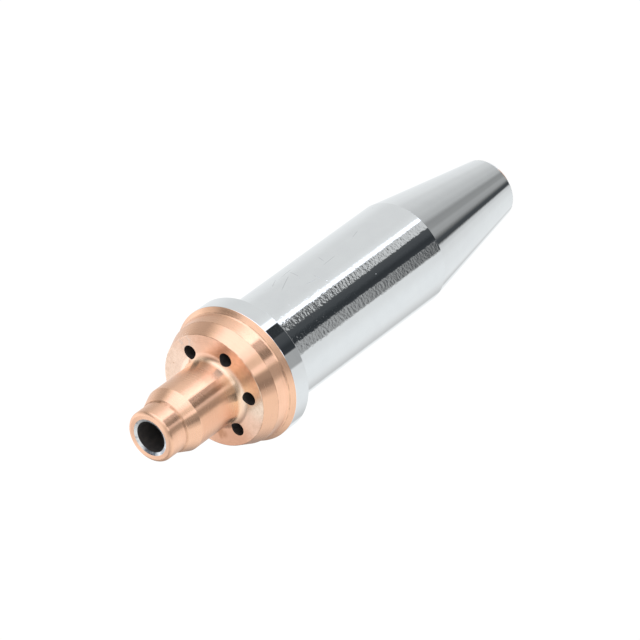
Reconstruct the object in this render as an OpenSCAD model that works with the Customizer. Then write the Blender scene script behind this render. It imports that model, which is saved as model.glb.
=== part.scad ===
// Acetylene cutting tip: one bar of copper, turned, drilled and plated.
// It stands on its tip face, with the seat end up. All lengths are in millimetres.

/* [Overall] */
// Overall length, from the tip face to the end of the spigot
overall_l = 77.4; // [70:0.1:95]

/* [Spigot] */
// Length of the spigot, from its end to the hole face
spigot_l = 13.8; // [11:0.1:18]
// Diameter of the neck at the end of the spigot
neck_d = 7.5; // [6.6:0.05:7.7]
// Length of the neck, up to the lip fillet
neck_l = 2.8; // [1.5:0.1:3.5]
// Rounding of the neck's end edge
neck_edge_r = 0.5; // [0.1:0.05:0.6]
// Radius of the fillet between the neck and the inner seat
lip_r = 0.7; // [0.5:0.1:1.8]
// Diameter of the shank behind the inner seat
shank_d = 9.5; // [9.3:0.05:10.2]
// Fillet between the shank and the hole face
root_r = 1.05; // [0.3:0.05:1.2]

/* [Seats] */
// Angle of both conical seats to the axis, in degrees
seat_angle = 22; // [18:0.5:24]
// Axial length of the inner seat
inner_seat_l = 1.9; // [1.2:0.1:2]
// Axial length of the outer seat
outer_seat_l = 2.2; // [1.4:0.1:2.6]
// Outside diameter of the hole face, where the outer seat starts
hole_face_d = 16.7; // [15.8:0.1:17]

/* [Flange] */
// Diameter of the flange
flange_d = 20.3; // [19.8:0.1:22]
// Length of the flange's plated outside
flange_l = 2.8; // [2:0.1:4]
// Axial length of the land behind the outer seat
land_l = 2; // [1:0.05:2.6]
// Angle of the land to the axis, in degrees
land_angle = 5; // [2:0.5:7]
// Angle of the rim bevel to the axis, in degrees
bevel_angle = 45; // [38:1:60]
// Fillet between the land and the rim bevel
rim_fillet_r = 0.5; // [0.2:0.1:0.8]

/* [Barrel and nose] */
// Diameter of the barrel that the retaining nut slides over
barrel_d = 15.8; // [15:0.1:16.5]
// Axial length of the tapered nose
nose_l = 21.4; // [18:0.1:24]
// Diameter of the tip face over its edge rounding
tip_d = 9.2; // [8.4:0.1:10]
// Rounding of the tip's edge
tip_edge_r = 0.3; // [0.1:0.05:0.5]

/* [Cutting passage] */
// Diameter of the inlet bore
bore_d = 4.6; // [4:0.1:4.8]
// Depth of the inlet bore from the end of the spigot
bore_l = 52.6; // [44:0.1:54]
// Diameter of the countersink at the mouth of the bore
mouth_d = 5.45; // [5:0.05:5.8]
// Diameter of the feed behind the cutting jet
feed_d = 2.6; // [2:0.1:3]
// Diameter of the cutting jet
jet_d = 1.3; // [0.8:0.1:1.6]
// Length of the cutting jet
jet_l = 8; // [5:0.5:10]
// Included angle of the drill point between two diameters, in degrees
drill_angle = 90; // [60:2:118]

/* [Preheat passages] */
// Number of preheat passages
preheat_n = 6; // [4:1:7]
// Diameter of the preheat holes at the seat end
preheat_d = 2; // [1.4:0.1:2.2]
// Radius of the circle of hole centres on the hole face
preheat_in_r = 6.1; // [5.9:0.05:6.4]
// Diameter of the preheat jets at the tip face
flame_d = 0.9; // [0.6:0.1:1]
// Length of the preheat jets
flame_l = 14; // [8:1:16]
// Radius of the circle of jets on the tip face
preheat_out_r = 2.75; // [2.6:0.05:2.9]

/* [Hidden] */
$fn = 96;
// Straight pieces in a rounded corner
arc_steps = 8;
// How far a cut runs past the surface that it opens
past = 0.5;

neck_r = neck_d / 2;
shank_r = shank_d / 2;
barrel_r = barrel_d / 2;
flange_r = flange_d / 2;
tip_r = tip_d / 2;
hole_face_r = hole_face_d / 2;

// Inner seat: the lip fillet climbs from the neck to the seat's small end
inner_seat_r = shank_r - inner_seat_l * tan(seat_angle);
lip_sweep = acos(1 - (inner_seat_r - neck_r) / lip_r);
lip_l = lip_r * sin(lip_sweep);

// Heights above the tip face, from the seat end down
inner_seat_top = overall_l - neck_l - lip_l;
inner_seat_foot = inner_seat_top - inner_seat_l;
hole_face_z = overall_l - spigot_l;
outer_seat_foot = hole_face_z - outer_seat_l;
land_foot = outer_seat_foot - land_l;
outer_seat_r = hole_face_r + outer_seat_l * tan(seat_angle);
land_r = outer_seat_r + land_l * tan(land_angle);
flange_top = land_foot - (flange_r - land_r) / tan(bevel_angle);
shoulder_z = flange_top - flange_l;

// Rim fillet: it touches the land and the bevel, which turn away from each other
rim_sweep = bevel_angle - land_angle;
rim_reach = rim_fillet_r * tan(rim_sweep / 2);
rim_centre = [
    land_r - rim_reach * sin(land_angle) + rim_fillet_r * cos(land_angle),
    land_foot + rim_reach * cos(land_angle) + rim_fillet_r * sin(land_angle)
];

// Tip rounding: it touches the tip face and the flank of the nose
nose_angle = atan((barrel_r - tip_r) / nose_l);
tip_centre_r = tip_r - tip_edge_r * tan(45 - nose_angle / 2);

// Preheat passages lean inwards from the hole face to the tip face
lean = atan((preheat_in_r - preheat_out_r) / hole_face_z);

// Points of an arc about a centre, from one angle to another
function arc(centre, r, from, to) = [
    for (i = [0 : arc_steps])
        let (a = from + (to - from) * i / arc_steps)
            centre + r * [cos(a), sin(a)]
];

// Half section of the turned body as [radius, height], from the tip face to the spigot
function body_outline() = concat(
    [[0, 0]],
    arc([tip_centre_r, tip_edge_r], tip_edge_r, -90, -nose_angle),
    [
        [barrel_r, nose_l],
        [barrel_r, shoulder_z],
        [flange_r, shoulder_z],
        [flange_r, flange_top]
    ],
    arc(rim_centre, rim_fillet_r, 180 + bevel_angle, 180 + land_angle),
    [
        [outer_seat_r, outer_seat_foot],
        [hole_face_r, hole_face_z]
    ],
    arc([shank_r + root_r, hole_face_z + root_r], root_r, 270, 180),
    [
        [shank_r, inner_seat_foot]
    ],
    arc([neck_r + lip_r, overall_l - neck_l], lip_r, 180 + lip_sweep, 180),
    arc([neck_r - neck_edge_r, overall_l - neck_edge_r], neck_edge_r, 0, 90),
    [[0, overall_l]]
);

module turned_body() {
    rotate_extrude() polygon(body_outline());
}

// Cutting passage: countersunk mouth, inlet bore, feed and jet, with drill points between
module cutting_passage() {
    feed_top = overall_l - bore_l;
    bore_point = (bore_d - feed_d) / 2 / tan(drill_angle / 2);
    jet_point = (feed_d - jet_d) / 2 / tan(drill_angle / 2);
    mouth_depth = (mouth_d - bore_d) / 2;
    rotate_extrude() polygon([
        [0, -past],
        [jet_d / 2, -past],
        [jet_d / 2, jet_l],
        [feed_d / 2, jet_l + jet_point],
        [feed_d / 2, feed_top - bore_point],
        [bore_d / 2, feed_top],
        [bore_d / 2, overall_l - mouth_depth],
        [mouth_d / 2, overall_l],
        [mouth_d / 2, overall_l + past],
        [0, overall_l + past]
    ]);
}

// Preheat passage: a wide hole from the hole face, then a fine jet to the tip face
module preheat_passage() {
    flame_point = (preheat_d - flame_d) / 2 / tan(drill_angle / 2);
    run = hole_face_z / cos(lean);
    translate([preheat_out_r, 0, 0]) rotate([0, lean, 0]) rotate_extrude() polygon([
        [0, -past],
        [flame_d / 2, -past],
        [flame_d / 2, flame_l],
        [preheat_d / 2, flame_l + flame_point],
        [preheat_d / 2, run + past],
        [0, run + past]
    ]);
}

module cutting_tip() {
    color([0.86, 0.62, 0.47]) difference() {
        turned_body();
        cutting_passage();
        for (i = [0 : preheat_n - 1]) rotate([0, 0, i * 360 / preheat_n]) preheat_passage();
    }
}

cutting_tip();
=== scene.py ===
# Acetylene cutting tip, dressed: one turned piece of copper with a plated barrel.
# The form stands on its tip face with the seat end up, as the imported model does.
import math

import bpy
import numpy as np
from mathutils import Matrix, Vector


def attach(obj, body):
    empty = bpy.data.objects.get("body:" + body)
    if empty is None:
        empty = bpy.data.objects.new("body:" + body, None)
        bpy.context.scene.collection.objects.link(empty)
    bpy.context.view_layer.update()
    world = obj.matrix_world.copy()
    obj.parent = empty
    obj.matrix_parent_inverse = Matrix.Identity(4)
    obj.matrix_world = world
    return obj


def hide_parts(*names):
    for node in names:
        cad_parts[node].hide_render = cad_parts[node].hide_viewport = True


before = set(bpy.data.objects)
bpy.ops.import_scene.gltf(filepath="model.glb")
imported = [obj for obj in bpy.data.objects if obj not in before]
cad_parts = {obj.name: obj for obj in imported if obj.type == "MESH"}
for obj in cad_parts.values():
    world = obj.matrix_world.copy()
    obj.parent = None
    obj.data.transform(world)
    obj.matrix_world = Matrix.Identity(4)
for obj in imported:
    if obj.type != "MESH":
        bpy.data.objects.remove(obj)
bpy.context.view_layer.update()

MM = 0.001

# Sizes in millimetres, as the part has them
OVERALL_L = 77.4
SPIGOT_L = 13.8
NECK_D = 7.5
NECK_L = 2.8
NECK_EDGE_R = 0.5
LIP_R = 0.7
SHANK_D = 9.5
ROOT_R = 1.05
SEAT_ANGLE = 22
INNER_SEAT_L = 1.9
OUTER_SEAT_L = 2.2
HOLE_FACE_D = 16.7
FLANGE_D = 20.3
FLANGE_L = 2.8
LAND_L = 2.0
LAND_ANGLE = 5
BEVEL_ANGLE = 45
RIM_FILLET_R = 0.5
BARREL_D = 15.8
NOSE_L = 21.4
TIP_D = 9.2
TIP_EDGE_R = 0.3
BORE_D = 4.6
BORE_L = 52.6
MOUTH_D = 5.45
FEED_D = 2.6
JET_D = 1.3
JET_L = 8.0
PREHEAT_N = 6
PREHEAT_D = 2.0
PREHEAT_IN_R = 6.1
FLAME_D = 0.9
FLAME_L = 14.0
PREHEAT_OUT_R = 2.75

# Fine forms that the plain solid leaves out, in millimetres
JET_EDGE_R = 0.05       # edge of the cutting jet at the tip face
NOSE_BLEND_R = 0.1      # where the barrel turns into the nose
CORNER_R = 0.35         # fillet under the flange's shoulder
SHOULDER_EDGE_R = 0.12  # outer edge of the shoulder
FLANGE_EDGE_R = 0.16    # worn edge between the copper front and the plated outside
SEAT_EDGE_R = 0.07      # edge between the land and the outer seat
FACE_EDGE_R = 0.1       # edge between the outer seat and the hole face
SEAT_FOOT_R = 0.15      # edge between the shank and the inner seat
MOUTH_EDGE_R = 0.06     # edge of the plated mouth
MOUTH_DEPTH = 0.2       # countersink of the mouth, as shallow as it looks
BORE_EDGE_R = 0.03      # edge between the mouth and the bore
HOLE_BREAK = 0.05       # broken edge of a preheat jet

# Fineness of the mesh
SEGMENTS = 384
HOLE_SIDES = 56
LIP_STEPS = 6
ARC_STEP = math.radians(9)
RING_SPACING = 2.5      # longest face along a straight line, in millimetres

# How far a cutter runs past the faces that it opens, and its broken edge past the tip face, in
# millimetres
CUT_PAST = 1.2
BREAK_PAST = 0.001

# A face lies on the half section when it is this near to it, in metres, and faces the same way
NEAR_SECTION = 2e-5
SAME_WAY = 0.9


def tan(deg):
    return math.tan(math.radians(deg))


NECK_R = NECK_D / 2
SHANK_R = SHANK_D / 2
BARREL_R = BARREL_D / 2
FLANGE_R = FLANGE_D / 2
TIP_R = TIP_D / 2
FACE_R = HOLE_FACE_D / 2
FACE_Z = OVERALL_L - SPIGOT_L
INNER_SEAT_R = SHANK_R - INNER_SEAT_L * tan(SEAT_ANGLE)
LIP_CENTRE = (NECK_R + LIP_R, OVERALL_L - NECK_L)
LIP_SWEEP = math.acos(1 - (INNER_SEAT_R - NECK_R) / LIP_R)
INNER_TOP = OVERALL_L - NECK_L - LIP_R * math.sin(LIP_SWEEP)
INNER_FOOT = INNER_TOP - INNER_SEAT_L
OUTER_FOOT = FACE_Z - OUTER_SEAT_L
OUTER_R = FACE_R + OUTER_SEAT_L * tan(SEAT_ANGLE)
LAND_FOOT = OUTER_FOOT - LAND_L
LAND_R = OUTER_R + LAND_L * tan(LAND_ANGLE)
FLANGE_TOP = LAND_FOOT - (FLANGE_R - LAND_R) / tan(BEVEL_ANGLE)
SHOULDER_Z = FLANGE_TOP - FLANGE_L
PLATING_R = TIP_R + TIP_EDGE_R * (BARREL_R - TIP_R) / NOSE_L

# Zones of the surface, in the order of the material slots
COPPER, CHROME, MOUTH, PASSAGE = range(4)


def corners():
    """The half section. Each corner is radius, height, rounding and zone of the line after it."""
    feed_top = OVERALL_L - BORE_L
    return [
        (JET_D / 2, 0, JET_EDGE_R, COPPER),
        (TIP_R, 0, TIP_EDGE_R, COPPER),
        (PLATING_R, TIP_EDGE_R, 0, CHROME),
        (BARREL_R, NOSE_L, NOSE_BLEND_R, CHROME),
        (BARREL_R, SHOULDER_Z, CORNER_R, CHROME),
        (FLANGE_R, SHOULDER_Z, SHOULDER_EDGE_R, CHROME),
        (FLANGE_R, FLANGE_TOP, FLANGE_EDGE_R, COPPER),
        (LAND_R, LAND_FOOT, RIM_FILLET_R, COPPER),
        (OUTER_R, OUTER_FOOT, SEAT_EDGE_R, COPPER),
        (FACE_R, FACE_Z, FACE_EDGE_R, COPPER),
        (SHANK_R, FACE_Z, ROOT_R, COPPER),
        (SHANK_R, INNER_FOOT, SEAT_FOOT_R, COPPER),
        (INNER_SEAT_R, INNER_TOP, 0, COPPER),
        ("lip",),
        (NECK_R, OVERALL_L, NECK_EDGE_R, COPPER),
        (MOUTH_D / 2, OVERALL_L, MOUTH_EDGE_R, MOUTH),
        (BORE_D / 2, OVERALL_L - MOUTH_DEPTH, BORE_EDGE_R, PASSAGE),
        (BORE_D / 2, feed_top, 0, PASSAGE),
        (FEED_D / 2, feed_top - (BORE_D - FEED_D) / 2, 0, PASSAGE),
        (FEED_D / 2, JET_L + (FEED_D - JET_D) / 2, 0, PASSAGE),
        (JET_D / 2, JET_L, 0, PASSAGE),
    ]


def lip_points():
    """The lip fillet, from its first point past the inner seat to the neck."""
    out = []
    for i in range(1, LIP_STEPS + 1):
        a = math.pi + LIP_SWEEP * (1 - i / LIP_STEPS)
        out.append((LIP_CENTRE[0] + LIP_R * math.cos(a), LIP_CENTRE[1] + LIP_R * math.sin(a)))
    return out


def half_section():
    """Closed list of (point, normal before, normal after, zone of the line that follows)."""
    listed = []
    for corner in corners():
        if corner[0] == "lip":
            listed += [(r, z, 0, COPPER, True) for r, z in lip_points()]
        else:
            listed.append((*corner, False))
    count = len(listed)
    line_normal = []
    for i, p in enumerate(listed):
        q = listed[(i + 1) % count]
        along = Vector((q[0] - p[0], q[1] - p[1])).normalized()
        line_normal.append(Vector((along.y, -along.x)))
    out = []
    for i, (r, z, rounding, zone, on_lip) in enumerate(listed):
        last, following = listed[i - 1], listed[(i + 1) % count]
        before, after = line_normal[i - 1], line_normal[i]
        here = Vector((r, z))
        if rounding == 0:
            if on_lip or following[4]:
                smooth = (Vector(LIP_CENTRE) - here).normalized()
                out.append((here, smooth if on_lip else before, smooth, zone))
            else:
                out.append((here, before, after, zone))
            continue
        turn = before.angle_signed(after)
        reach = rounding * math.tan(abs(turn) / 2)
        start = here + (Vector(last[:2]) - here).normalized() * reach
        side = 1 if before.dot(Vector(following[:2]) - here) < 0 else -1
        centre = start - before * rounding * side
        steps = max(2, math.ceil(abs(turn) / ARC_STEP))
        for k in range(steps + 1):
            normal = before.copy()
            normal.rotate(Matrix.Rotation(-turn * k / steps, 2))
            point = centre + normal * rounding * side
            out.append((point, normal, normal, zone if k >= steps / 2 else last[3]))
    return out


def lathe():
    """The turned body with its cutting passage, as vertices, faces, zones and rings."""
    section = half_section()
    rings = []
    # Long lines get rings between, so that no face is a long sliver
    for i, (p, before, after, zone) in enumerate(section):
        rings.append((p, before, after, zone))
        q = section[(i + 1) % len(section)][0]
        extra = int((q - p).length // RING_SPACING)
        for k in range(extra):
            rings.append((p.lerp(q, (k + 1) / (extra + 1)), after, after, zone))
    angles = np.arange(SEGMENTS) * 2 * math.pi / SEGMENTS
    co, faces, zones = [], [], []
    total = len(rings)
    for i, (p, _, _, zone) in enumerate(rings):
        co.append(np.stack([p.x * np.cos(angles), p.x * np.sin(angles), np.full(SEGMENTS, p.y)], 1))
        a, b = i * SEGMENTS, ((i + 1) % total) * SEGMENTS
        for j in range(SEGMENTS):
            k = (j + 1) % SEGMENTS
            faces.append((a + j, a + k, b + k, b + j))
            zones.append(zone)
    return np.concatenate(co) * MM, faces, zones, rings


def new_object(name, co, faces, zones, materials):
    mesh = bpy.data.meshes.new(name)
    mesh.from_pydata([tuple(c) for c in co], [], faces)
    for m in materials:
        mesh.materials.append(m)
    mesh.polygons.foreach_set("material_index", zones)
    mesh.update()
    obj = bpy.data.objects.new(name, mesh)
    bpy.context.scene.collection.objects.link(obj)
    return obj


def preheat_cutter(index, materials):
    """One leaning passage: broken edge, flame jet, drill point and wide hole."""
    lean = math.atan((PREHEAT_IN_R - PREHEAT_OUT_R) / FACE_Z)
    run = FACE_Z / math.cos(lean)
    wide, fine = PREHEAT_D / 2, FLAME_D / 2
    # Radius and height, from the tip face up; the ends are drawn as fans
    profile = [
        (fine + HOLE_BREAK, -CUT_PAST),
        (fine + HOLE_BREAK, -BREAK_PAST),
        (fine, HOLE_BREAK),
        (fine, FLAME_L),
        (wide, FLAME_L + wide - fine),
        (wide, run + CUT_PAST),
    ]
    angles = np.arange(HOLE_SIDES) * 2 * math.pi / HOLE_SIDES
    co, faces = [(0, 0, profile[0][1])], []
    for r, z in profile:
        co += [(r * math.cos(a), r * math.sin(a), z) for a in angles]
    co.append((0, 0, profile[-1][1]))
    last = len(co) - 1
    top = last - HOLE_SIDES
    for j in range(HOLE_SIDES):
        k = (j + 1) % HOLE_SIDES
        faces.append((0, 1 + k, 1 + j))
        faces.append((last, top + j, top + k))
        for i in range(len(profile) - 1):
            a, b = 1 + i * HOLE_SIDES, 1 + (i + 1) * HOLE_SIDES
            faces.append((a + j, a + k, b + k, b + j))
    place = (
        Matrix.Rotation(2 * math.pi * index / PREHEAT_N, 4, "Z")
        @ Matrix.Translation((PREHEAT_OUT_R * MM, 0, 0))
        @ Matrix.Rotation(lean, 4, "Y")
        @ Matrix.Scale(MM, 4)
    )
    co = [place @ Vector(c) for c in co]
    return new_object(f"cutter_{index}", co, faces, [PASSAGE] * len(faces), materials)


# Shader building, kept short
class Nodes:
    """A small helper that adds nodes and joins them."""

    def __init__(self, tree):
        self.tree = tree
        tree.nodes.clear()

    def add(self, kind, values=None, **settings):
        node = self.tree.nodes.new(kind)
        for key, value in settings.items():
            setattr(node, key, value)
        for key, value in (values or {}).items():
            self.put(node.inputs[key], value)
        return node

    def put(self, socket, value):
        if isinstance(value, bpy.types.NodeSocket):
            self.tree.links.new(value, socket)
        else:
            socket.default_value = value

    def math(self, operation, a, b=0.0):
        return self.add("ShaderNodeMath", {0: a, 1: b}, operation=operation).outputs[0]

    def times(self, first, *others):
        for other in others:
            first = self.math("MULTIPLY", first, other)
        return first

    def plus(self, first, *others):
        for other in others:
            first = self.math("ADD", first, other)
        return first

    def between(self, value, low, high, to_low=0.0, to_high=1.0):
        """Eases from to_low to to_high as value goes from low to high."""
        node = self.add(
            "ShaderNodeMapRange",
            {"Value": value, "From Min": low, "From Max": high, "To Min": to_low, "To Max": to_high},
            interpolation_type="SMOOTHSTEP",
        )
        return node.outputs["Result"]

    def belt(self, value, low, high, soft_low, soft_high=None):
        """One from low to high, and nothing beyond them. Each edge eases over its softness."""
        soft_high = soft_low if soft_high is None else soft_high
        return self.times(self.between(value, low - soft_low, low + soft_low),
                          self.between(value, high - soft_high, high + soft_high, 1.0, 0.0))

    def noise(self, vector, scale=1.0, detail=2.0, rough=0.5):
        node = self.add(
            "ShaderNodeTexNoise",
            {"Vector": vector, "Scale": scale, "Detail": detail, "Roughness": rough},
        )
        return node.outputs[0]

    def mix(self, factor, a, b):
        node = self.add("ShaderNodeMix", data_type="RGBA", clamp_factor=True)
        self.put(node.inputs[0], factor)
        self.put(node.inputs[6], a)
        self.put(node.inputs[7], b)
        return node.outputs[2]


class Place:
    """The shaded point in millimetres, with its radius and its direction round the axis."""

    def __init__(self, n):
        here = n.add("ShaderNodeTexCoord").outputs["Object"]
        scaled = n.add("ShaderNodeVectorMath", {0: here, 1: (1 / MM,) * 3}, operation="MULTIPLY")
        self.point = scaled.outputs[0]
        split = n.add("ShaderNodeSeparateXYZ", {0: self.point}).outputs
        self.x, self.y, self.z = split[0], split[1], split[2]
        square = n.plus(n.times(self.x, self.x), n.times(self.y, self.y))
        self.radius = n.math("MAXIMUM", n.math("POWER", square, 0.5), 0.01)
        self.cos = n.math("DIVIDE", self.x, self.radius)
        self.sin = n.math("DIVIDE", self.y, self.radius)


# Share of the lines' fineness on faces across the axis
FACE_LINES = 0.83


def lines(n, place, around, along, detail=2.0, seed=0.0):
    """Noise drawn out into turning lines: around is low and along is high."""
    path = n.plus(n.times(place.z, along), n.times(place.radius, along * FACE_LINES), seed)
    vector = n.add("ShaderNodeCombineXYZ",
                   {0: n.times(place.cos, around), 1: n.times(place.sin, around), 2: path})
    return n.noise(vector.outputs[0], detail=detail, rough=0.6)


# A quarter turn of the brushed highlight, so that it follows the turning lines
BRUSHED_ROUND = 0.25


def finish_metal(n, colour, rough, height, distance, aniso):
    """The shader of a turned metal: brushed round the axis, with its lines as bump."""
    bump = n.add("ShaderNodeBump", {"Height": height, "Strength": 1.0, "Distance": distance})
    tangent = n.add("ShaderNodeTangent", direction_type="RADIAL", axis="Z")
    shader = n.add("ShaderNodeBsdfPrincipled", {
        "Base Color": colour, "Roughness": rough, "Metallic": 1.0,
        "Anisotropic": aniso, "Anisotropic Rotation": BRUSHED_ROUND,
        "Normal": bump.outputs[0], "Tangent": tangent.outputs[0]})
    n.add("ShaderNodeOutputMaterial", {0: shader.outputs[0]})


def new_material(name):
    material = bpy.data.materials.new(name)
    material.use_nodes = True
    return material, Nodes(material.node_tree)


# Share of a patch's radius that has its full colour
SPOT_CORE = 0.35


def spot(n, place, centre, size):
    """A soft round patch about a point of the part, in millimetres."""
    away = n.add("ShaderNodeVectorMath", {0: place.point, 1: centre}, operation="DISTANCE")
    return n.between(away.outputs["Value"], size * SPOT_CORE, size, 1.0, 0.0)


# Copper's colours
COPPER_TONE = (0.905, 0.55, 0.37, 1)
COPPER_CLOUD = (0.88, 0.53, 0.355, 1)
COPPER_LINE = (0.82, 0.47, 0.30, 1)
# Painted shade on one side of the shank
SHANK_SIDE_SHADE = (0.76, 0.41, 0.25, 1)
OUTER_SEAT_TONE = (0.80, 0.47, 0.31, 1)
# Paler tone of the hole face, partly a painted highlight on its fillet
FACE_TONE_AND_HIGHLIGHT = (0.92, 0.615, 0.455, 1)
# Painted highlight on the shank's foot
FOOT_HIGHLIGHT = (1.0, 0.74, 0.53, 1)
# Painted shade in the crease at the lip
CREASE_SHADE = (0.45, 0.23, 0.13, 1)
EDGE_BROWN = (0.50, 0.26, 0.15, 1)
MARK_BROWN = (0.52, 0.26, 0.15, 1)
RUBBED_TONE = (0.95, 0.78, 0.66, 1)
PLATED_TONE = (0.745, 0.757, 0.762, 1)

# Painted highlights and painted shade on the hole face, as brighter and duller patches: centre, size
# and colour
FACE_LIGHT_AND_SHADE = [
    ((5.4, 4.6, FACE_Z), 5.5, (1.0, 0.74, 0.57, 1)),
    ((5.4, -4.4, FACE_Z), 4.6, (0.80, 0.46, 0.31, 1)),
    ((-7.2, 2.4, FACE_Z), 5.8, (0.70, 0.37, 0.235, 1)),
    ((-3.5, -6.7, FACE_Z), 4.6, (1.0, 0.80, 0.62, 1)),
]

# Small brown marks: centre, size and strength
MARKS = [
    ((-5.75, 3.21, FACE_Z), 1.2, 1.0),        # stain on the hole face
    ((5.78, 4.03, FACE_Z), 0.16, 0.6),        # speck on the hole face
    ((4.95, 0.62, FACE_Z + 0.2), 0.6, 0.8),   # beside the first hole
    ((-6.9, 5.3, 62.4), 0.5, 0.5),            # on the outer seat
]

# Heights of the thin brown lines along the turned edges
BROWN_LINES = [OUTER_FOOT, FACE_Z - 0.06, LAND_FOOT - 0.12, INNER_FOOT]

# The rubbed patch beside the first hole, and the worn spot of the tip's edge: centre and size
RUBBED_PATCH = (7.75, -0.2, FACE_Z), 1.7
WORN_SPOT = (0.95, -4.48, 0.12), 1.3

COPPER_BUMP = 1.2e-6
COPPER_ANISO = 0.95


def shank_and_seat(n, place, colour):
    """One side of the shank is browner, a painted shade, and the outer seat a little duller than the
    inner one.
    """
    # Painted shade: one side of the shank is darkened towards brown
    shank = n.times(n.belt(place.z, FACE_Z + 0.75, INNER_FOOT - 0.1, 0.35),
                    n.between(place.x, -2.8, 0.6, 0.62, 0.0))
    colour = n.mix(shank, colour, SHANK_SIDE_SHADE)
    outer = n.belt(place.z, OUTER_FOOT, FACE_Z - 0.05, 0.04)
    return n.mix(n.times(outer, 0.55), colour, OUTER_SEAT_TONE)


def hole_face(n, place, colour):
    """The hole face and its fillet are paler, partly a painted highlight on the fillet, with patches
    of painted highlight and painted shade, and the shank's foot has a painted highlight.
    """
    face = n.times(n.belt(place.z, FACE_Z - 0.04, FACE_Z + 0.8, 0.03),
                   n.between(place.radius, SHANK_R + 0.05, SHANK_R + 0.5))
    # Paler face and fillet, partly a painted highlight on the fillet
    colour = n.mix(n.times(face, 0.85), colour, FACE_TONE_AND_HIGHLIGHT)
    # Patches of painted highlight and painted shade
    for centre, size, shade in FACE_LIGHT_AND_SHADE:
        patch = n.times(face, spot(n, place, centre, size), 0.9)
        colour = n.mix(patch, colour, shade)
    # Painted highlight on the shank's foot
    pale = n.times(n.between(place.z, FACE_Z + 0.7, FACE_Z + 3.4, 0.8, 0.0),
                   n.between(place.radius, SHANK_R + 0.1, SHANK_R + 0.5, 1.0, 0.0),
                   n.between(place.z, FACE_Z - 0.1, FACE_Z))
    return n.mix(pale, colour, FOOT_HIGHLIGHT)


def crease_and_edges(n, place, colour, blot):
    """Painted shade in the crease at the lip, and thin brown lines along the turned edges."""
    # Painted shade in the crease, patchy and stronger on one side
    crease = n.times(n.belt(place.z, INNER_TOP + 0.08, INNER_TOP + 0.42, 0.12),
                     n.between(blot, 0.30, 0.62, 0.3, 0.8),
                     n.between(place.x, -1.5, 2.2, 0.55, 1.15))
    colour = n.mix(crease, colour, CREASE_SHADE)
    for edge in BROWN_LINES:
        line = n.times(n.belt(place.z, edge - 0.05, edge + 0.05, 0.04),
                       n.between(blot, 0.35, 0.65, 0.05, 0.6))
        # From the hole face up, the line stays off the shank
        if edge > FACE_Z - 0.1:
            line = n.times(line, n.between(place.radius, SHANK_R, FACE_R - 0.2))
        colour = n.mix(line, colour, EDGE_BROWN)
    return colour


def copper_roughness(n, place, cloud, finer, rubbed):
    """The neck is duller than the rest, and so are the shank's foot and the rubbed patch."""
    rough = n.between(n.plus(n.times(cloud, 0.5), n.times(finer, 0.5)), 0.3, 0.7, 0.21, 0.28)
    neck = n.between(place.z, INNER_FOOT, INNER_TOP + 0.5, 0.0, 0.05)
    foot = n.times(n.between(place.z, FACE_Z + 0.9, FACE_Z + 3.6, 1.0, 0.0),
                   n.between(place.radius, SHANK_R + 0.02, SHANK_R + 0.3, 1.0, 0.0),
                   n.between(place.x, -1.2, 0.8, 0.03, 0.08))
    return n.plus(rough, neck, foot, n.times(rubbed, 0.15))


def copper_material():
    material, n = new_material("turned_copper")
    place = Place(n)
    cloud = n.noise(place.point, scale=0.35, detail=3.0)
    blot = n.noise(place.point, scale=1.6, detail=4.0)
    fine = lines(n, place, around=0.9, along=7.0)
    finer = lines(n, place, around=2.0, along=19.0, detail=1.0, seed=31.0)
    colour = n.mix(n.between(cloud, 0.35, 0.7), COPPER_TONE, COPPER_CLOUD)
    colour = n.mix(n.between(fine, 0.45, 0.75, 0.0, 0.25), colour, COPPER_LINE)
    colour = shank_and_seat(n, place, colour)
    colour = hole_face(n, place, colour)
    colour = crease_and_edges(n, place, colour, blot)
    for centre, size, amount in MARKS:
        mark = n.times(spot(n, place, centre, size), n.between(blot, 0.38, 0.56, 0.45, amount))
        colour = n.mix(mark, colour, MARK_BROWN)
    rubbed = n.times(spot(n, place, *RUBBED_PATCH),
                     n.between(n.noise(place.point, scale=3.2, detail=3.0), 0.48, 0.58))
    colour = n.mix(n.times(rubbed, 0.6), colour, RUBBED_TONE)
    # The plating reaches round the tip's edge, and is worn through at one spot
    plated = n.times(n.belt(place.z, 0.06, 0.5, 0.04),
                     n.math("SUBTRACT", 1.0, spot(n, place, *WORN_SPOT)))
    colour = n.mix(plated, colour, PLATED_TONE)
    rough = copper_roughness(n, place, cloud, finer, rubbed)
    height = n.plus(fine, n.times(finer, 0.35), n.times(rubbed, 2.0))
    finish_metal(n, colour, rough, height, COPPER_BUMP, COPPER_ANISO)
    return material


# The plating's colours
PLATING_TONE = (0.74, 0.752, 0.757, 1)
PLATING_CLOUD = (0.755, 0.768, 0.77, 1)
SCRATCH_TONE = (0.50, 0.51, 0.52, 1)

# Fine scratches on the rolled-out barrel: place round it and height, start and end, in millimetres
SCRATCHES = [
    ((-5.3, 48.0), (-3.9, 44.8)),
    ((-2.9, 45.0), (-2.7, 42.6)),
    ((-3.2, 43.5), (-5.0, 44.0)),
    ((-4.4, 38.5), (-5.5, 38.9)),
    ((-6.1, 39.5), (-6.0, 37.1)),
    ((-3.5, 47.8), (-2.6, 46.0)),
    ((-7.0, 44.7), (-7.3, 43.2)),
    ((-7.6, 42.4), (-6.6, 42.5)),
    ((-5.1, 31.6), (-4.7, 30.0)),
]
SCRATCH_WIDTH = 0.075
SCRATCH_CORE = 0.4      # share of the width that is full
SCRATCH_END = 0.18      # share of the length over which each end fades

# One pit that catches the light in the dark band: centre and size
BRIGHT_PIT = (0.65, -BARREL_R, 34.44), 0.13

CHROME_BUMP = 1.2e-5
CHROME_ANISO = 0.3


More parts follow.
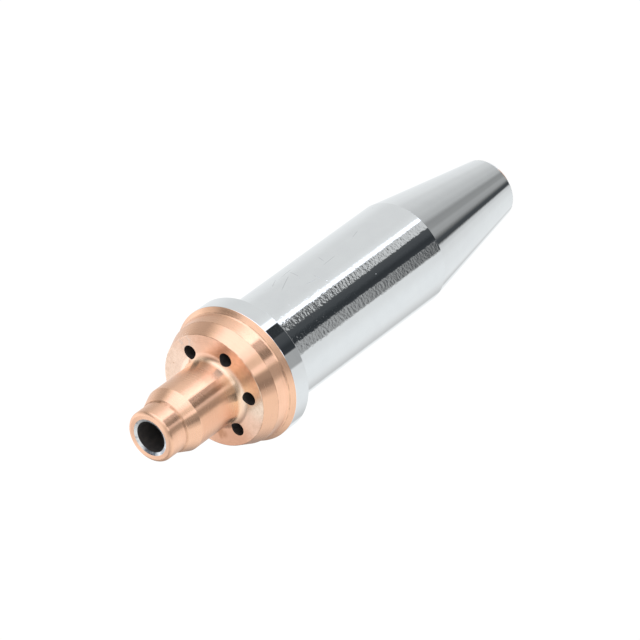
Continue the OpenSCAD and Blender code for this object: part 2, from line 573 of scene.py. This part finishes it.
def scratch(n, around, along, start, end):
    """A fine straight scratch on the rolled-out surface, in millimetres."""
    dx, dy = end[0] - start[0], end[1] - start[1]
    length = math.hypot(dx, dy)
    u, v = n.math("SUBTRACT", around, start[0]), n.math("SUBTRACT", along, start[1])
    reach = n.plus(n.times(u, dx / length), n.times(v, dy / length))
    off = n.math("SUBTRACT", n.times(u, dy / length), n.times(v, dx / length))
    across = n.between(n.math("ABSOLUTE", off), SCRATCH_WIDTH * SCRATCH_CORE, SCRATCH_WIDTH, 1.0, 0.0)
    return n.times(across, n.belt(reach, 0.0, length, length * SCRATCH_END))


def chrome_material():
    material, n = new_material("bright_plating")
    place = Place(n)
    cloud = n.noise(place.point, scale=0.5, detail=2.0)
    grain = n.noise(place.point, scale=2.3, detail=1.5, rough=0.6)
    fine = lines(n, place, around=4.0, along=2.4)
    colour = n.mix(n.between(cloud, 0.3, 0.7), PLATING_TONE, PLATING_CLOUD)
    around = n.times(n.math("ARCTAN2", place.y, place.x), BARREL_R)
    marks = 0.0
    for start, end in SCRATCHES:
        marks = n.math("MAXIMUM", marks, scratch(n, around, place.z, start, end))
    colour = n.mix(n.times(marks, 0.5), colour, SCRATCH_TONE)
    # Sparse pits in the plating catch the light
    cells = n.add("ShaderNodeTexVoronoi", {"Vector": place.point, "Scale": 0.42})
    pits = n.math("MAXIMUM", n.between(cells.outputs["Distance"], 0.02, 0.045, 1.0, 0.0),
                  spot(n, place, *BRIGHT_PIT))
    # The flange's outside and the nose are smoother than the barrel, whose upper end is dullest
    dull = n.times(n.between(place.z, SHOULDER_Z - 0.2, SHOULDER_Z + 0.2, 1.0, 0.06),
                   n.between(place.z, 28.0, 54.0, 0.6, 1.05),
                   n.between(place.z, NOSE_L - 0.5, NOSE_L + 0.5, 0.35, 1.0))
    worn = n.math("MAXIMUM", pits, n.times(marks, 0.4))
    rough = n.plus(n.between(dull, 0.06, 1.05, 0.02, 0.04), n.times(worn, 0.5))
    height = n.times(n.plus(grain, n.times(fine, 0.3)), dull)
    finish_metal(n, colour, rough, height, CHROME_BUMP, CHROME_ANISO)
    return material


# The plated mouth's colours, and its dark smudge: centre and size
MOUTH_TONE = (0.78, 0.78, 0.77, 1)
MOUTH_BLOT = (0.40, 0.41, 0.43, 1)
SMUDGE_TONE = (0.09, 0.105, 0.13, 1)
SMUDGE = (-2.05, 1.8, OVERALL_L - 0.1), 1.7

MOUTH_BUMP = 2.0e-6
MOUTH_ANISO = 0.5


def mouth_material():
    material, n = new_material("plated_mouth")
    place = Place(n)
    blot = n.noise(place.point, scale=0.9, detail=3.0)
    colour = n.mix(n.between(blot, 0.5, 0.7), MOUTH_TONE, MOUTH_BLOT)
    smudge = n.times(spot(n, place, *SMUDGE),
                     n.between(n.noise(place.point, scale=2.4), 0.35, 0.55, 0.75, 1.0))
    colour = n.mix(smudge, colour, SMUDGE_TONE)
    rough = n.between(blot, 0.3, 0.7, 0.22, 0.4)
    height = lines(n, place, around=1.5, along=9.0)
    finish_metal(n, colour, rough, height, MOUTH_BUMP, MOUTH_ANISO)
    return material


# Near blacks of the drilled passages, painted shade of the deep holes
PASSAGE_SHADE_TONE = (0.055, 0.051, 0.050, 1)
PASSAGE_SHADE_BLOT = (0.085, 0.073, 0.067, 1)


def passage_material():
    material, n = new_material("dark_passage")
    blot = n.noise(Place(n).point, scale=1.4, detail=3.0)
    # The passage walls are painted near black as the shade inside the deep holes
    shader = n.add("ShaderNodeBsdfPrincipled", {
        "Base Color": n.mix(n.between(blot, 0.35, 0.7), PASSAGE_SHADE_TONE, PASSAGE_SHADE_BLOT),
        "Roughness": n.between(blot, 0.3, 0.7, 0.6, 0.8),
        "Metallic": 0.3})
    n.add("ShaderNodeOutputMaterial", {0: shader.outputs[0]})
    return material


def build_tip():
    """The whole piece, turned, drilled and given its exact normals."""
    materials = [copper_material(), chrome_material(), mouth_material(), passage_material()]
    co, faces, zones, rings = lathe()
    body = new_object("cutting_tip_turned", co, faces, zones, materials)
    cutters = [preheat_cutter(index, materials) for index in range(PREHEAT_N)]
    for index, cutter in enumerate(cutters):
        cut = body.modifiers.new(f"hole_{index}", "BOOLEAN")
        cut.operation, cut.solver, cut.object = "DIFFERENCE", "EXACT", cutter
    bpy.context.view_layer.update()
    solved = bpy.data.meshes.new_from_object(
        body.evaluated_get(bpy.context.evaluated_depsgraph_get()))
    body.modifiers.clear()
    turned = body.data
    body.data = solved
    bpy.data.meshes.remove(turned)
    for cutter in cutters:
        bpy.data.objects.remove(cutter)
    exact_normals(body.data, rings)
    return body


def exact_normals(mesh, rings):
    """Sets each corner's normal from the half section. A drilled wall keeps its faces' normals."""
    start = np.array([r[0] for r in rings]) * MM
    end = np.roll(start, -1, axis=0)
    first = np.array([r[2] for r in rings])
    last = np.roll(np.array([r[1] for r in rings]), -1, axis=0)
    line = end - start
    span = (line ** 2).sum(1)
    verts = np.zeros(len(mesh.vertices) * 3)
    mesh.vertices.foreach_get("co", verts)
    verts = verts.reshape(-1, 3)
    radius = np.hypot(verts[:, 0], verts[:, 1])
    flat = np.stack([radius, verts[:, 2]], 1)
    normals = np.zeros((len(mesh.loops), 3))
    mesh.shade_smooth()
    mesh.update()
    for face in mesh.polygons:
        loops = list(face.loop_indices)
        ids = [mesh.loops[i].vertex_index for i in loops]
        # The line of the section that is nearest to the face's middle
        middle = flat[ids].mean(0)
        middle[0] = math.hypot(face.center.x, face.center.y)
        t = np.clip(((middle - start) * line).sum(1) / span, 0, 1)
        gap = np.hypot(*(start + line * t[:, None] - middle).T)
        k = int(gap.argmin())
        out = Vector((face.center.x, face.center.y, 0)).normalized()
        facing = face.normal.x * out.x + face.normal.y * out.y
        guess = first[k] * (1 - t[k]) + last[k] * t[k]
        agree = facing * guess[0] + face.normal.z * guess[1]
        if gap[k] > NEAR_SECTION or agree < SAME_WAY:
            for i in loops:
                normals[i] = face.normal
            continue
        for i, v in zip(loops, ids):
            s = min(max(((flat[v] - start[k]) * line[k]).sum() / span[k], 0), 1)
            across, upward = first[k] * (1 - s) + last[k] * s
            c = verts[v, :2] / max(radius[v], 1e-9)
            normals[i] = (across * c[0], across * c[1], upward)
    length = np.linalg.norm(normals, axis=1)
    normals /= np.maximum(length, 1e-9)[:, None]
    mesh.normals_split_custom_set([tuple(v) for v in normals])


tip = build_tip()
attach(tip, "root")
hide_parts("cutting_tip")


# The camera, solved from the photograph's ellipses and outlines, in degrees and millimetres
CAMERA_AZIMUTH = -82.8
CAMERA_ELEVATION = 41.8415
CAMERA_ROLL = -126.4759
CAMERA_DISTANCE = 678.7646
CAMERA_AIM = (-0.9687, 0.8679, 39.7972)
CAMERA_LENS = 277.56
CAMERA_CLIP = (0.01, 20)    # in metres
SENSOR = 36.0


def make_camera():
    a, e = math.radians(CAMERA_AZIMUTH), math.radians(CAMERA_ELEVATION)
    back = Vector((math.cos(a) * math.cos(e), math.sin(a) * math.cos(e), math.sin(e)))
    data = bpy.data.cameras.new("camera")
    data.lens, data.sensor_width = CAMERA_LENS, SENSOR
    data.clip_start, data.clip_end = CAMERA_CLIP
    camera = bpy.data.objects.new("camera", data)
    bpy.context.scene.collection.objects.link(camera)
    camera.location = (Vector(CAMERA_AIM) + back * CAMERA_DISTANCE) * MM
    upright = (-back).to_track_quat("-Z", "Y").to_matrix()
    roll = Matrix.Rotation(math.radians(CAMERA_ROLL), 3, "Z")
    camera.rotation_euler = (upright @ roll).to_euler()
    bpy.context.scene.camera = camera


make_camera()


# The floor glows nearly white to the camera, and is plain white to all else
FLOOR_SIZE = 6.0    # in metres
FLOOR_SEEN = (0.12, 0.12, 0.12, 1)
FLOOR_GLOW = 0.92
FLOOR_PLAIN = (0.8, 0.8, 0.8, 1)


def make_floor():
    half = FLOOR_SIZE / 2
    square = [(-half, -half, 0), (half, -half, 0), (half, half, 0), (-half, half, 0)]
    material, n = new_material("white_floor")
    seen = n.add("ShaderNodeLightPath").outputs["Is Camera Ray"]
    pale = n.add("ShaderNodeBsdfDiffuse", {"Color": FLOOR_SEEN})
    glow = n.add("ShaderNodeEmission", {"Color": (1, 1, 1, 1), "Strength": FLOOR_GLOW})
    both = n.add("ShaderNodeAddShader", {0: pale.outputs[0], 1: glow.outputs[0]})
    plain = n.add("ShaderNodeBsdfDiffuse", {"Color": FLOOR_PLAIN})
    choice = n.add("ShaderNodeMixShader", {0: seen, 1: plain.outputs[0], 2: both.outputs[0]})
    n.add("ShaderNodeOutputMaterial", {0: choice.outputs[0]})
    floor = new_object("floor", square, [(0, 1, 2, 3)], [0], [material])
    floor.visible_glossy = False


make_floor()


# The studio that metal sees is a pale room with windows and darker screens. Azimuth is measured
# from the front, where the camera looks from, towards its left, and height from the horizon, both
# in degrees. The room's tone round the horizon is a list of stops, each an azimuth and its tone.
ROOM = [
    (-180, 0.98), (-135, 0.95), (-100, 0.86), (-55, 0.86), (-30, 0.98),
    (50, 0.92), (85, 1.02), (115, 1.0), (180, 0.97),
]

# The screens are laid over the room in this order. Each has its edges in azimuth and in height, its
# tone, and the softness of its two edges in azimuth and in height. A tone that changes is given as
# stops along the azimuth or the height.
SCREENS = [
    # Back, right side and the walls
    ((-185, -125), (-8, 80), 1.30, (1, 10), (6, 8)),
    ((175, 185), (-8, 80), 1.30, (4, 1), (6, 8)),
    ((54, 112), (-37.5, 66), 1.10, (8, 14), (2, 10)),
    ((47, 112), (-37.0, -25), 1.40, (3, 16), (1.0, 5)),
    ((-130, -86), (-37.3, -12), 0.61, (22, 14), (0.9, 6)),
    ((-116, -86), (-14, 14), 0.62, (10, 12), (5, 8)),
    ((135, 174), (-38, 70), 0.41, (24, 4), (3, 8)),
    ((128, 150), (-50, -38), 0.66, (24, 4), (2, 3)),
    ((-104, -73), (6, 62), 0.24, (12, 8), (8, 10)),
    ((-68, 60), (28, 82), 1.10, (4, 6), (8, 6)),
    # The table in front of the nose, in half shade
    ((-185, 185), (-95, -53), ("azimuth", [
        (-150, 0.97), (-118, 0.93), (-92, 0.79), (-56, 0.655), (-34, 0.56), (-18, 0.345),
        (-6, 0.36), (4, 0.44), (12, 0.42), (32, 0.08), (38, 0.08), (47, 0.76), (60, 0.88),
        (90, 0.97), (112, 0.98), (140, 0.86), (165, 0.95)]), (1, 1), (1, 2)),
    # Bright window, and the gap between the two dark forms in front of it
    ((-22, -7), (-39.0, 26), 1.56, (2, 5), (0.8, 8)),
    ((-50, -21), (-37.0, 26), 1.85, (24, 2), (1.2, 8)),
    ((-76, -21), (-20, 26), 1.78, (20, 2), (10, 8)),
    ((-48, -22.8), (-37.4, -32), 2.9, (18, 1.2), (0.9, 3)),
    ((-60, -25), (-51.2, -46.0), 3.2, (18, 2), (0.5, 0.5)),
    ((-36.5, -26.6), (-46, -37), 1.62, (2.6, 0.5), (0.6, 2)),
    ((-20, 8), (-9, 20), ("azimuth", [
        (-18, 1.70), (-12, 1.56), (-6, 1.32), (0, 1.12), (7, 1.12)]), (2, 2), (4, 6)),
    ((9, 19.2), (-37.6, 20), 1.42, (2, 3), (1.0, 8)),
    # Ceiling in shade, and the soft fringe beside the tall strip
    ((-8, 53), (36, 74), 0.55, (18, 5), (8, 8)),
    ((38, 57), (-16, 40), 0.62, (3, 7), (6, 8)),
    # Dark cards before the window
    ((-27.8, -9), (-52, -45.4), 0.10, (0.7, 1.0), (1, 0.5)),
    ((-27.8, -9), (-45.8, -41.7), ("height", [(-43.8, 0.78), (-42.2, 0.58)]), (0.7, 1.0), (0.5, 0.45)),
    ((-26.3, 9.5), (-42.0, -40.5), 0.04, (0.6, 1.2), (0.6, 0.2)),
    ((-22.6, 9.0), (-40.7, -24), 0.17, (1.0, 1.2), (0.2, 5)),
    ((-5, 9.0), (-37.5, -15), 0.05, (3, 1.5), (1.5, 6)),
    ((-9, 22.5), (-51, -38.8), ("azimuth", [
        (-9, 0.10), (1, 0.085), (13, 0.045), (20, 0.05)]), (1.2, 1.0), (4, 0.6)),
    # The tall strip at the camera's left, with a darker middle
    ((21.6, 45.4), (-52, 74), ("height", [
        (-44.6, 0.08), (-41.0, 0.47), (-34, 0.64), (-4, 0.38), (30, 0.46)]), (2.0, 2.4), (1, 8)),
    ((34, 46.5), (-14, 18), 0.25, (3, 2.5), (8, 8)),
]

# The light's tint is bluish where it is dark, and again a little where it is bright. Each line has
# the tones between which the tint eases on, and the tint that follows
TINT_START = (0.84, 0.97, 1.10, 1)
TINTS = [
    (0.0, 0.2, (0.98, 1.0, 1.01, 1)),
    (0.85, 1.1, (0.965, 1.0, 1.02, 1)),
    (1.1, 1.6, (0.965, 1.0, 1.14, 1)),
]


def profile(n, value, stops):
    """Eases through the stops, each a value and the tone there."""
    tone = stops[0][1]
    for (a, t), (b, u) in zip(stops, stops[1:]):
        tone = n.plus(tone, n.between(value, a, b, 0.0, u - t))
    return tone


def make_world():
    world = bpy.data.worlds.new("studio")
    bpy.context.scene.world = world
    world.use_nodes = True
    n = Nodes(world.node_tree)
    toward = n.add("ShaderNodeTexCoord").outputs["Generated"]
    split = n.add("ShaderNodeSeparateXYZ", {0: toward}).outputs
    x, y, z = split[0], split[1], split[2]
    front = math.radians(CAMERA_AZIMUTH)
    along = n.plus(n.times(x, math.cos(front)), n.times(y, math.sin(front)))
    across = n.math("SUBTRACT", n.times(x, math.sin(front)), n.times(y, math.cos(front)))
    angles = {
        "azimuth": n.times(n.math("ARCTAN2", across, along), 180 / math.pi),
        "height": n.times(n.math("ARCSINE", z), 180 / math.pi),
    }
    azimuth, height = angles["azimuth"], angles["height"]
    light = profile(n, azimuth, ROOM)
    for az, el, tone, soft_az, soft_el in SCREENS:
        if isinstance(tone, tuple):
            tone = profile(n, angles[tone[0]], tone[1])
        mask = n.times(n.belt(azimuth, *az, *soft_az), n.belt(height, *el, *soft_el))
        light = n.plus(n.times(light, n.math("SUBTRACT", 1.0, mask)), n.times(mask, tone))
    tint = TINT_START
    for low, high, colour in TINTS:
        tint = n.mix(n.between(light, low, high), tint, colour)
    studio = n.add("ShaderNodeVectorMath", {0: tint, 3: light}, operation="SCALE").outputs[0]
    # Only reflections see the studio; all else sees an even white
    glossy = n.add("ShaderNodeLightPath").outputs["Is Glossy Ray"]
    plain = n.add("ShaderNodeBackground", {"Color": (1, 1, 1, 1), "Strength": 1.0})
    room = n.add("ShaderNodeBackground", {"Color": studio, "Strength": 1.0})
    both = n.add("ShaderNodeMixShader", {0: glossy, 1: plain.outputs[0], 2: room.outputs[0]})
    n.add("ShaderNodeOutputWorld", {0: both.outputs[0]})


make_world()

bpy.context.scene.view_settings.view_transform = "Standard"
